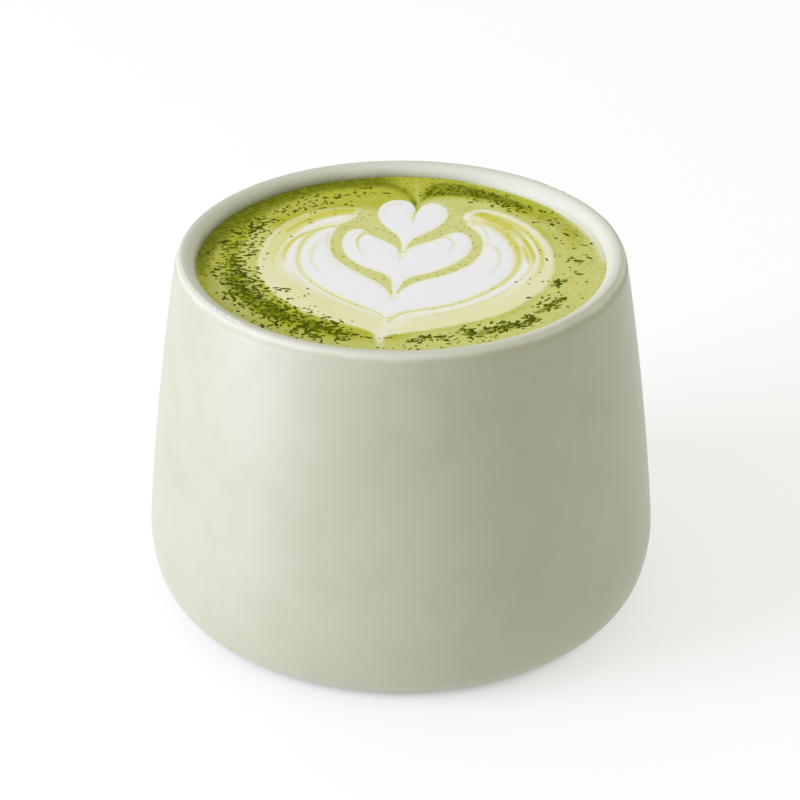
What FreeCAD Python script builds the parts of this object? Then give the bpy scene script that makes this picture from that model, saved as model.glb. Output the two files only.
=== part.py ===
import FreeCAD, Part
import math
import os
import Sketcher

# A handleless stoneware latte cup filled with matcha latte, in millimetres.
# +Z is up, and the origin is the centre of the foot ring, on the surface the cup stands on.
# Both solids are turned about Z from one section, so the drink always fits the cup.

sizes = {
    "bodyRadius": 47.5,        # widest part of the cup
    "bodyLevel": 14.8,         # height of the widest part
    "bellyRadius": 24.5,       # section arc through the widest part
    "heelRadius": 10.8,        # section arc from the belly under to the foot
    "wallRadius": 610.0,       # slow outward bow of the wall
    "rimHeight": 70.0,         # top of the lip
    "rimRadius": 39.85,        # where the lip is highest
    "lipRadius": 0.9,          # outer round of the lip
    "shoulderRadius": 6.0,     # glazed shoulder under the lip
    "shoulderDrop": 2.4,       # lip top down to the start of the shoulder
    "wallThickness": 4.0,
    "floorThickness": 5.0,
    "floorRound": 19.0,        # inside round between the floor and the wall
    "footRingWidth": 4.5,
    "footRecess": 1.4,         # hollow under the cup, inside the foot ring
    "drinkDrop": 2.35,         # lip top down to the drink
}

startPoint = 1
endPoint = 2
centrePoint = 3
horizontalAxis = -1
verticalAxis = -2


def makeSheet(doc):
    sheet = doc.addObject("Spreadsheet::Sheet", "sizes")
    for row, (name, value) in enumerate(sizes.items(), start=1):
        sheet.set(f"A{row}", name)
        sheet.set(f"B{row}", str(value))
        sheet.setAlias(f"B{row}", name)
    doc.recompute()
    return sheet


class Outline:
    """A sketch on the XZ plane whose sizes are bound to the sheet."""

    def __init__(self, body, name):
        plane = next(f for f in body.Origin.OriginFeatures if f.Role == "XZ_Plane")
        self.sketch = body.newObject("Sketcher::SketchObject", name)
        self.sketch.AttachmentSupport = [(plane, "")]
        self.sketch.MapMode = "FlatFace"

    def line(self, start, end, construction=False):
        segment = Part.LineSegment(FreeCAD.Vector(*start, 0), FreeCAD.Vector(*end, 0))
        return self.sketch.addGeometry(segment, construction)

    def arc(self, centre, radius, fromDegrees, toDegrees, construction=False):
        circle = Part.Circle(FreeCAD.Vector(*centre, 0), FreeCAD.Vector(0, 0, 1), radius)
        angles = math.radians(fromDegrees), math.radians(toDegrees)
        return self.sketch.addGeometry(Part.ArcOfCircle(circle, *angles), construction)

    def hold(self, kind, *arguments):
        return self.sketch.addConstraint(Sketcher.Constraint(kind, *arguments))

    def bind(self, expression, kind, *arguments):
        index = self.hold(kind, *arguments)
        self.sketch.setExpression(f"Constraints[{index}]", expression)

    def smooth(self, first, firstPoint, second, secondPoint):
        self.hold("Tangent", first, firstPoint, second, secondPoint)

    def join(self, first, firstPoint, second, secondPoint):
        self.hold("Coincident", first, firstPoint, second, secondPoint)


def wallAngles():
    """Where the outside's arcs meet, in degrees, so that the sketches start close to their solution."""
    s = sizes
    heel = math.asin((s["heelRadius"] - s["bodyLevel"]) / (s["bellyRadius"] - s["heelRadius"]))
    shoulderReach = s["shoulderRadius"] - s["lipRadius"]
    low = high = shoulder = 0.0
    for _ in range(20):
        rise = s["shoulderDrop"] - s["lipRadius"] + s["shoulderRadius"] * math.sin(high)
        shoulder = math.asin(rise / shoulderReach)
        topX = s["rimRadius"] - shoulderReach * math.cos(shoulder) + s["shoulderRadius"] * math.cos(high)
        topZ = s["rimHeight"] - s["shoulderDrop"]
        bottomX = s["bodyRadius"] - s["bellyRadius"] + s["bellyRadius"] * math.cos(low)
        bottomZ = s["bodyLevel"] + s["bellyRadius"] * math.sin(low)
        lean = math.atan2(bottomX - topX, topZ - bottomZ)
        bow = math.asin(math.hypot(bottomX - topX, topZ - bottomZ) / 2 / s["wallRadius"])
        low, high = lean - bow, lean + bow
    return [math.degrees(angle) for angle in (heel, low, high, shoulder)]


def step(centre, reach, degrees):
    """The point that lies a reach away from a centre, at an angle."""
    angle = math.radians(degrees)
    return centre[0] + reach * math.cos(angle), centre[1] + reach * math.sin(angle)


def drawOutside(outline, construction):
    """Foot ring, heel, belly, wall, shoulder and outer lip, from the ground up."""
    s = sizes
    heelAngle, lowAngle, highAngle, shoulderAngle = wallAngles()
    bellyX = s["bodyRadius"] - s["bellyRadius"]
    heelX = bellyX + (s["bellyRadius"] - s["heelRadius"]) * math.cos(math.radians(heelAngle))
    wallCentre = step((bellyX, s["bodyLevel"]), s["bellyRadius"] - s["wallRadius"], lowAngle)
    lipCentre = (s["rimRadius"], s["rimHeight"] - s["lipRadius"])
    shoulderCentre = step(lipCentre, s["lipRadius"] - s["shoulderRadius"], shoulderAngle)

    foot = outline.line((heelX - s["footRingWidth"], 0), (heelX, 0), construction)
    heel = outline.arc((heelX, s["heelRadius"]), s["heelRadius"], -90, heelAngle, construction)
    belly = outline.arc((bellyX, s["bodyLevel"]), s["bellyRadius"], heelAngle, lowAngle, construction)
    wall = outline.arc(wallCentre, s["wallRadius"], lowAngle, highAngle, construction)
    shoulder = outline.arc(shoulderCentre, s["shoulderRadius"], highAngle, shoulderAngle, construction)
    lip = outline.arc(lipCentre, s["lipRadius"], shoulderAngle, 90, construction)

    outline.hold("PointOnObject", foot, startPoint, horizontalAxis)
    outline.hold("PointOnObject", foot, endPoint, horizontalAxis)
    outline.bind("sizes.footRingWidth", "DistanceX", foot, startPoint, foot, endPoint, s["footRingWidth"])
    chain = [foot, heel, belly, wall, shoulder, lip]
    for lower, upper in zip(chain, chain[1:]):
        outline.smooth(lower, endPoint, upper, startPoint)
    for name, arc in [("heelRadius", heel), ("bellyRadius", belly), ("wallRadius", wall),
                      ("shoulderRadius", shoulder), ("lipRadius", lip)]:
        outline.bind(f"sizes.{name}", "Radius", arc, s[name])
    outline.bind("sizes.bodyRadius - sizes.bellyRadius", "DistanceX", belly, centrePoint, bellyX)
    outline.bind("sizes.bodyLevel", "DistanceY", belly, centrePoint, s["bodyLevel"])
    outline.bind("sizes.shoulderDrop", "DistanceY", wall, endPoint, lip, endPoint, s["shoulderDrop"])
    outline.bind("sizes.rimRadius", "DistanceX", lip, endPoint, s["rimRadius"])
    outline.bind("sizes.rimHeight", "DistanceY", lip, endPoint, s["rimHeight"])
    outline.hold("Vertical", lip, centrePoint, lip, endPoint)
    return foot, wall, lip


def drawInside(outline, wall, lip):
    """Inner lip, inner wall, floor round and floor, from the lip down to the axis."""
    s = sizes
    innerWall = s["wallRadius"] - s["wallThickness"]
    wallCentre = outline.sketch.Geometry[wall].Center
    # the inner lip and the floor round start where they touch the inner wall
    lipX, lipZ = s["rimRadius"] - wallCentre.x, s["rimHeight"] - wallCentre.y
    innerLip = (lipX ** 2 + lipZ ** 2 - innerWall ** 2) / (lipZ + innerWall) / 2
    highAngle = math.degrees(math.atan2(lipZ - innerLip, lipX))
    roundZ = s["floorThickness"] + s["floorRound"]
    lowAngle = math.degrees(math.asin((roundZ - wallCentre.y) / (innerWall - s["floorRound"])))
    roundX, _ = step((wallCentre.x, wallCentre.y), innerWall - s["floorRound"], lowAngle)

    lipArc = outline.arc((s["rimRadius"], s["rimHeight"] - innerLip), innerLip, 90, 180 + highAngle)
    wallArc = outline.arc((wallCentre.x, wallCentre.y), innerWall, lowAngle, highAngle)
    roundArc = outline.arc((roundX, roundZ), s["floorRound"], -90, lowAngle)
    floor = outline.line((0, s["floorThickness"]), (roundX, s["floorThickness"]))

    outline.smooth(lip, endPoint, lipArc, startPoint)
    outline.smooth(lipArc, endPoint, wallArc, endPoint)
    outline.smooth(wallArc, startPoint, roundArc, endPoint)
    outline.smooth(roundArc, startPoint, floor, endPoint)
    outline.join(wallArc, centrePoint, wall, centrePoint)
    outline.bind("sizes.wallRadius - sizes.wallThickness", "Radius", wallArc, innerWall)
    outline.bind("sizes.floorRound", "Radius", roundArc, s["floorRound"])
    outline.hold("Horizontal", floor)
    outline.hold("PointOnObject", floor, startPoint, verticalAxis)
    outline.bind("sizes.floorThickness", "DistanceY", floor, startPoint, s["floorThickness"])
    return lipArc, floor


def drawRecess(outline, foot):
    """The hollow under the cup, from the foot ring to the axis."""
    s = sizes
    ringX = outline.sketch.Geometry[foot].StartPoint.x
    corner = outline.arc((ringX - s["footRecess"], 0), s["footRecess"], 0, 90)
    ceiling = outline.line((ringX - s["footRecess"], s["footRecess"]), (0, s["footRecess"]))
    outline.hold("PointOnObject", corner, centrePoint, horizontalAxis)
    outline.join(corner, startPoint, foot, startPoint)
    outline.smooth(corner, endPoint, ceiling, startPoint)
    outline.bind("sizes.footRecess", "Radius", corner, s["footRecess"])
    outline.hold("Horizontal", ceiling)
    outline.hold("PointOnObject", ceiling, endPoint, verticalAxis)
    return ceiling


def turnSection(body, outline, name):
    turned = body.newObject("PartDesign::Revolution", name)
    turned.Profile = outline.sketch
    turned.ReferenceAxis = (outline.sketch, ["V_Axis"])
    turned.Angle = 360
    return turned


def makeCup(doc):
    body = doc.addObject("PartDesign::Body", "cupBody")
    body.Label = "cup"
    outline = Outline(body, "cupSection")
    foot, wall, lip = drawOutside(outline, construction=False)
    _, floor = drawInside(outline, wall, lip)
    ceiling = drawRecess(outline, foot)
    axis = outline.line((0, sizes["footRecess"]), (0, sizes["floorThickness"]))
    outline.join(axis, startPoint, ceiling, endPoint)
    outline.join(axis, endPoint, floor, startPoint)
    turnSection(body, outline, "turnedCup")
    return body


def makeLatte(doc):
    """The drink fills the cup's own inside, then everything above its level is cut away."""
    body = doc.addObject("PartDesign::Body", "latteBody")
    body.Label = "latte"
    outline = Outline(body, "cavitySection")
    _, wall, lip = drawOutside(outline, construction=True)
    lipArc, floor = drawInside(outline, wall, lip)
    top = outline.line((sizes["rimRadius"], sizes["rimHeight"]), (0, sizes["rimHeight"]))
    axis = outline.line((0, sizes["rimHeight"]), (0, sizes["floorThickness"]))
    outline.join(top, startPoint, lipArc, startPoint)
    outline.hold("Horizontal", top)
    outline.hold("PointOnObject", top, endPoint, verticalAxis)
    outline.join(axis, startPoint, top, endPoint)
    outline.join(axis, endPoint, floor, startPoint)
    turnSection(body, outline, "filledCavity")
    doc.recompute()

    plane = next(f for f in body.Origin.OriginFeatures if f.Role == "XY_Plane")
    level = body.newObject("Sketcher::SketchObject", "drinkLevel")
    level.AttachmentSupport = [(plane, "")]
    level.MapMode = "FlatFace"
    level.setExpression("AttachmentOffset.Base.z", "sizes.rimHeight - sizes.drinkDrop")
    centre = FreeCAD.Vector(0, 0, 0)
    circle = level.addGeometry(Part.Circle(centre, FreeCAD.Vector(0, 0, 1), sizes["bodyRadius"]), False)
    level.addConstraint(Sketcher.Constraint("Coincident", circle, centrePoint, horizontalAxis, startPoint))
    index = level.addConstraint(Sketcher.Constraint("Radius", circle, sizes["bodyRadius"]))
    level.setExpression(f"Constraints[{index}]", "sizes.bodyRadius")
    cut = body.newObject("PartDesign::Pocket", "emptyAboveDrink")
    cut.Profile = level
    cut.Type = "ThroughAll"
    cut.Reversed = True
    return body


def checkDocument(doc, bodies):
    for item in doc.Objects:
        if {"Invalid", "Error"} & set(item.State):
            raise RuntimeError(f"{item.Name} failed: {item.State}")
        if item.isDerivedFrom("Sketcher::SketchObject") and item.solve() != 0:
            raise RuntimeError(f"{item.Name} can't be solved")
    for body in bodies:
        if body.Shape.isNull() or not body.Shape.isValid() or len(body.Shape.Solids) != 1:
            raise RuntimeError(f"{body.Label} isn't one valid solid")
    cup, latte = bodies
    drinkTop = sizes["rimHeight"] - sizes["drinkDrop"]
    if abs(latte.Shape.optimalBoundingBox(False).ZMax - drinkTop) > 0.001:
        raise RuntimeError("the drink isn't cut at its level")
    print(f"cup {cup.Shape.Volume / 1000:.1f} ml, latte {latte.Shape.Volume / 1000:.1f} ml")


def main():
    doc = FreeCAD.newDocument("matchaLatte")
    makeSheet(doc)
    bodies = [makeCup(doc), makeLatte(doc)]
    for body in bodies:
        body.Placement = FreeCAD.Placement()
    doc.recompute()
    checkDocument(doc, bodies)
    os.makedirs("parts", exist_ok=True)
    for body in bodies:
        body.Shape.exportStep(f"parts/{body.Label}.step")


main()
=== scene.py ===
import math
import bpy
import numpy as np
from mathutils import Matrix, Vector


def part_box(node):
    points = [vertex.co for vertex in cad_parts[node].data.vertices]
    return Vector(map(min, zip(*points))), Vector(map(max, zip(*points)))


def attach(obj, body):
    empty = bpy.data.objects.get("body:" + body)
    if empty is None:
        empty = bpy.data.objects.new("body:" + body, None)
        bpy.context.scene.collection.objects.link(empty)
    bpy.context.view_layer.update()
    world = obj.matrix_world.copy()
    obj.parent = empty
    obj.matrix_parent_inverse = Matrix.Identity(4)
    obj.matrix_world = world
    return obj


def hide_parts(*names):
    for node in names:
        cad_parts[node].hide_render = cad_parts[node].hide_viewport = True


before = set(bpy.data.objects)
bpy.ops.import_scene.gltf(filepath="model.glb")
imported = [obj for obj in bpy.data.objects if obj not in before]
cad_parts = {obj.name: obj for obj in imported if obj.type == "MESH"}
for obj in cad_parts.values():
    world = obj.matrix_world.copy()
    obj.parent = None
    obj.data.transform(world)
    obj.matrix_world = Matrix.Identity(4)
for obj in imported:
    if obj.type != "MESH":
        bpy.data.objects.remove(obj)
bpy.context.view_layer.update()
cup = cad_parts["cup"]
cupLow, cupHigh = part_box("cup")
drinkLow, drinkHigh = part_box("latte")
random = np.random.default_rng(12)


# shader helpers: a wrapped socket does arithmetic, and a finish makes every other node

class Value:
    def __init__(self, finish, socket):
        self.finish = finish
        self.socket = socket

    def math(self, operation, other=0.0, flip=False):
        first, second = (other, self) if flip else (self, other)
        return self.finish.node("ShaderNodeMath", {"operation": operation}, {0: first, 1: second})

    def __add__(self, other):
        return self.math("ADD", other)

    def __sub__(self, other):
        return self.math("SUBTRACT", other)

    def __mul__(self, other):
        return self.math("MULTIPLY", other)

    def __truediv__(self, other):
        return self.math("DIVIDE", other)

    def __pow__(self, other):
        return self.math("POWER", other)

    def __rsub__(self, other):
        return self.math("SUBTRACT", other, flip=True)

    __radd__ = __add__
    __rmul__ = __mul__


class Finish:
    def __init__(self, name):
        self.material = bpy.data.materials.new(name)
        self.material.use_nodes = True
        self.tree = self.material.node_tree
        self.shader = self.tree.nodes["Principled BSDF"]

    def node(self, kind, settings=None, inputs=None, output=0):
        made = self.tree.nodes.new(kind)
        for name, setting in (settings or {}).items():
            setattr(made, name, setting)
        for name, value in (inputs or {}).items():
            self.feed(made.inputs[name], value)
        return Value(self, made.outputs[output])

    def feed(self, socket, value):
        if isinstance(value, Value):
            self.tree.links.new(value.socket, socket)
        else:
            socket.default_value = value

    def set(self, **sockets):
        for name, value in sockets.items():
            self.feed(self.shader.inputs[name.replace("_", " ")], value)

    def mix(self, factor, first, second):
        return self.node("ShaderNodeMix", {"data_type": "RGBA"}, {0: factor, 6: first, 7: second}, 2)

    def fade(self, value, low, high):
        return self.node("ShaderNodeMapRange", {"interpolation_type": "SMOOTHSTEP"},
                         {"Value": value, "From Min": low, "From Max": high})

    def ramp(self, value, low, high):
        return self.node("ShaderNodeMapRange", {}, {"Value": value, "From Min": low, "From Max": high})

    def place(self):
        return self.node("ShaderNodeTexCoord", output="Object")

    def axes(self):
        # x, y, height and the distance from the middle
        x, y, z = (self.node("ShaderNodeSeparateXYZ", inputs={0: self.place()}, output=k) for k in range(3))
        return x, y, z, (x * x + y * y) ** 0.5

    def field(self, name):
        return self.node("ShaderNodeAttribute", {"attribute_name": name}, output="Fac")

    def noise(self, scale, detail=3.0, roughness=0.5, distortion=0.0, at=None):
        return self.node("ShaderNodeTexNoise", {"noise_dimensions": "3D"},
                         {"Vector": at or self.place(), "Scale": scale, "Detail": detail,
                          "Roughness": roughness, "Distortion": distortion}, "Fac")

    def dots(self, scale, low, high):
        away = self.node("ShaderNodeTexVoronoi", {"feature": "F1"},
                         {"Vector": self.place(), "Scale": scale}, "Distance")
        return self.fade(away, high, low)

    def bump(self, height, strength, distance):
        return self.node("ShaderNodeBump", inputs={"Height": height, "Strength": strength,
                                                   "Distance": distance})


def tint(red, green, blue):
    # a colour from the usual 0 to 255 scale
    linear = [((c / 255 + 0.055) / 1.055) ** 2.4 if c > 10 else c / 255 / 12.92 for c in (red, green, blue)]
    return (*linear, 1.0)


# drawing helpers: outlines and threads are in units of the drink's radius, x right and y back

def softCurve(points, closed=False, steps=10):
    points = np.asarray(points, float)
    if closed:
        before, here, there, after = (np.roll(points, k, axis=0) for k in (1, 0, -1, -2))
    else:
        padded = np.vstack([2 * points[0] - points[1], points, 2 * points[-1] - points[-2]])
        before, here, there, after = padded[:-3], padded[1:-2], padded[2:-1], padded[3:]
    t = np.linspace(0, 1, steps, endpoint=False)[None, :, None]
    before, here, there, after = (p[:, None] for p in (before, here, there, after))
    curve = 0.5 * (2 * here + (there - before) * t + (2 * before - 5 * here + 4 * there - after) * t ** 2
                   + (3 * here - before - 3 * there + after) * t ** 3)
    curve = curve.reshape(-1, 2)
    return np.vstack([curve, curve[:1] if closed else points[-1:]])


def nearest(curve, x, y):
    # distance to the curve, and how far along it from 0 to 1
    distance = np.full(x.shape, 1e9)
    along = np.zeros(x.shape)
    count = len(curve) - 1
    for k in range(count):
        (ax, ay), (bx, by) = curve[k], curve[k + 1]
        dx, dy = bx - ax, by - ay
        t = np.clip(((x - ax) * dx + (y - ay) * dy) / (dx * dx + dy * dy + 1e-12), 0, 1)
        away = (x - ax - t * dx) ** 2 + (y - ay - t * dy) ** 2
        closer = away < distance
        distance[closer] = away[closer]
        along[closer] = (k + t[closer]) / count
    return np.sqrt(distance), along


def inside(curve, x, y):
    crossings = np.zeros(x.shape, int)
    for (ax, ay), (bx, by) in zip(curve[:-1], curve[1:]):
        if ay != by:
            rows = (ay > y) != (by > y)
            crossings += rows & (x < ax + (y - ay) * (bx - ax) / (by - ay))
    return crossings % 2 == 1


def depthIn(points, x, y):
    # how deep inside a closed outline, negative outside
    curve = softCurve(points, closed=True)
    distance, _ = nearest(curve, x, y)
    return np.where(inside(curve, x, y), distance, -distance)


def runOf(curve):
    # the length of a curve up to each of its points
    return np.r_[0, np.cumsum(np.hypot(*np.diff(curve, axis=0).T))]


def between(first, second, share, count=24):
    # a curve part of the way from one curve to the other
    ends = []
    for points in (first, second):
        curve = softCurve(points)
        run = runOf(curve)
        at = np.linspace(0, run[-1], count)
        ends.append(np.c_[np.interp(at, run, curve[:, 0]), np.interp(at, run, curve[:, 1])])
    return ends[0] * (1 - share) + ends[1] * share


def valueAt(share, values):
    # values stand at even steps along a thread
    values = np.atleast_1d(values)
    return np.interp(share, np.linspace(0, 1, len(values)), values)


def drawThread(field, x, y, points, width, strength):
    # a soft line whose width and strength may change along it, laid over what is there
    curve = softCurve(points)
    reach = 2.6 * np.max(width)
    low, high = curve.min(0) - reach, curve.max(0) + reach
    near = np.flatnonzero((x > low[0]) & (x < high[0]) & (y > low[1]) & (y < high[1]))
    distance, along = nearest(curve, x[near], y[near])
    drawn = valueAt(along, strength) * np.exp(-(distance / valueAt(along, width)) ** 2)
    field[near] = 1 - (1 - field[near]) * (1 - np.clip(drawn, 0, 1))


# the poured milk, each outline from its top going round
outlines = {
    "topHeart": [
        (0.062, 0.51), (0.073, 0.585), (0.064, 0.655), (0.035, 0.705), (-0.01, 0.722), (-0.06, 0.706),
        (-0.1, 0.65), (-0.118, 0.565), (-0.106, 0.475), (-0.072, 0.395), (-0.03, 0.32), (-0.004, 0.25),
        (0.002, 0.17), (-0.002, 0.05), (0.01, 0.04), (0.018, 0.1), (0.034, 0.19), (0.065, 0.265),
        (0.12, 0.325), (0.18, 0.395), (0.222, 0.475), (0.238, 0.555), (0.224, 0.63), (0.185, 0.678),
        (0.145, 0.683), (0.107, 0.645), (0.08, 0.575)],
    "middleHeart": [
        (-0.004, 0.06), (-0.01, 0.12), (-0.035, 0.185), (-0.09, 0.25), (-0.14, 0.302), (-0.172, 0.352),
        (-0.208, 0.38), (-0.25, 0.362), (-0.281, 0.305), (-0.293, 0.225), (-0.285, 0.135), (-0.256, 0.045),
        (-0.205, -0.03), (-0.145, -0.082), (-0.088, -0.13), (-0.056, -0.18), (-0.044, -0.255),
        (-0.047, -0.385), (-0.02, -0.395), (-0.014, -0.315), (0.002, -0.245), (0.038, -0.178),
        (0.095, -0.142), (0.165, -0.103), (0.238, -0.04), (0.3, 0.035), (0.34, 0.12), (0.35, 0.205),
        (0.335, 0.288), (0.3, 0.333), (0.262, 0.335), (0.222, 0.306), (0.17, 0.256), (0.105, 0.21),
        (0.048, 0.165), (0.02, 0.12), (0.012, 0.06)],
    "greenBand": [
        (-0.24, 0.5), (-0.295, 0.435), (-0.332, 0.355), (-0.35, 0.26), (-0.35, 0.155), (-0.328, 0.06),
        (-0.285, -0.02), (-0.225, -0.1), (-0.155, -0.178), (-0.092, -0.26), (-0.058, -0.335),
        (-0.045, -0.4), (-0.022, -0.4), (-0.012, -0.335), (0.035, -0.26), (0.11, -0.2), (0.2, -0.152),
        (0.28, -0.09), (0.345, -0.01), (0.388, 0.085), (0.406, 0.19), (0.397, 0.29), (0.365, 0.373),
        (0.33, 0.42), (0.31, 0.5), (0.2, 0.72), (0.0, 0.76), (-0.16, 0.7)],
    "wing": [
        (-0.34, 0.385), (-0.4, 0.35), (-0.452, 0.27), (-0.487, 0.16), (-0.495, 0.04), (-0.483, -0.07),
        (-0.45, -0.16), (-0.395, -0.255), (-0.32, -0.35), (-0.24, -0.43), (-0.16, -0.495), (-0.1, -0.55),
        (-0.075, -0.62), (-0.05, -0.6), (-0.02, -0.56), (0.06, -0.52), (0.2, -0.468), (0.31, -0.402),
        (0.41, -0.31), (0.49, -0.205), (0.542, -0.09), (0.56, 0.03), (0.55, 0.14), (0.52, 0.245),
        (0.478, 0.33), (0.425, 0.405), (0.38, 0.42), (0.2, 0.3), (-0.2, 0.3)],
    "outerWing": [
        (-0.285, 0.505), (-0.37, 0.475), (-0.45, 0.39), (-0.51, 0.28), (-0.545, 0.15), (-0.555, 0.02),
        (-0.545, -0.1), (-0.5, -0.21), (-0.43, -0.315), (-0.34, -0.415), (-0.24, -0.505), (-0.15, -0.58),
        (-0.1, -0.67), (-0.085, -0.84), (-0.06, -0.74), (0.03, -0.64), (0.16, -0.575), (0.3, -0.505),
        (0.42, -0.41), (0.52, -0.29), (0.585, -0.15), (0.61, 0.0), (0.6, 0.13), (0.565, 0.25), (0.51, 0.35),
        (0.44, 0.43), (0.3, 0.3), (-0.2, 0.3)],
    "ring": [
        (-0.2, 0.6), (-0.3, 0.625), (-0.42, 0.58), (-0.53, 0.5), (-0.61, 0.385), (-0.665, 0.26),
        (-0.695, 0.12), (-0.702, -0.03), (-0.69, -0.16), (-0.64, -0.29), (-0.56, -0.415), (-0.46, -0.53),
        (-0.35, -0.615), (-0.22, -0.685), (-0.137, -0.75), (-0.114, -0.81), (-0.1, -0.845),
        (-0.086, -0.815), (-0.058, -0.778), (0.03, -0.752), (0.22, -0.695), (0.36, -0.63), (0.49, -0.545),
        (0.6, -0.42), (0.69, -0.28), (0.738, -0.12), (0.75, 0.04), (0.735, 0.19), (0.69, 0.33),
        (0.62, 0.45), (0.53, 0.55), (0.43, 0.605), (0.36, 0.6), (0.315, 0.53), (0.31, 0.4), (0.0, 0.2),
        (-0.25, 0.42)],
}

# the wing's edges and the ring's rims, from the tips down to the point of the pour
leftEdge = [(-0.335, 0.405), (-0.39, 0.385), (-0.44, 0.335), (-0.477, 0.26), (-0.5, 0.16), (-0.507, 0.04),
            (-0.495, -0.07), (-0.46, -0.165), (-0.405, -0.26), (-0.33, -0.355), (-0.25, -0.435),
            (-0.17, -0.5), (-0.11, -0.55), (-0.08, -0.61)]
rightEdge = [(0.43, 0.45), (0.5, 0.36), (0.545, 0.255), (0.572, 0.14), (0.578, 0.03), (0.555, -0.1),
             (0.5, -0.215), (0.42, -0.32), (0.32, -0.415), (0.21, -0.48), (0.1, -0.515), (0.01, -0.55),
             (-0.035, -0.59), (-0.058, -0.64)]
leftRim = [(-0.24, 0.6), (-0.42, 0.575), (-0.53, 0.495), (-0.61, 0.38), (-0.665, 0.255), (-0.695, 0.12),
           (-0.702, -0.03), (-0.685, -0.17), (-0.635, -0.295), (-0.555, -0.42), (-0.455, -0.53),
           (-0.34, -0.62), (-0.2, -0.7), (-0.1, -0.8)]
rightRim = [(0.36, 0.59), (0.43, 0.6), (0.53, 0.545), (0.62, 0.445), (0.69, 0.325), (0.735, 0.185),
            (0.75, 0.04), (0.735, -0.12), (0.685, -0.28), (0.6, -0.42), (0.49, -0.545), (0.36, -0.63),
            (0.2, -0.7), (-0.06, -0.8)]

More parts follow.
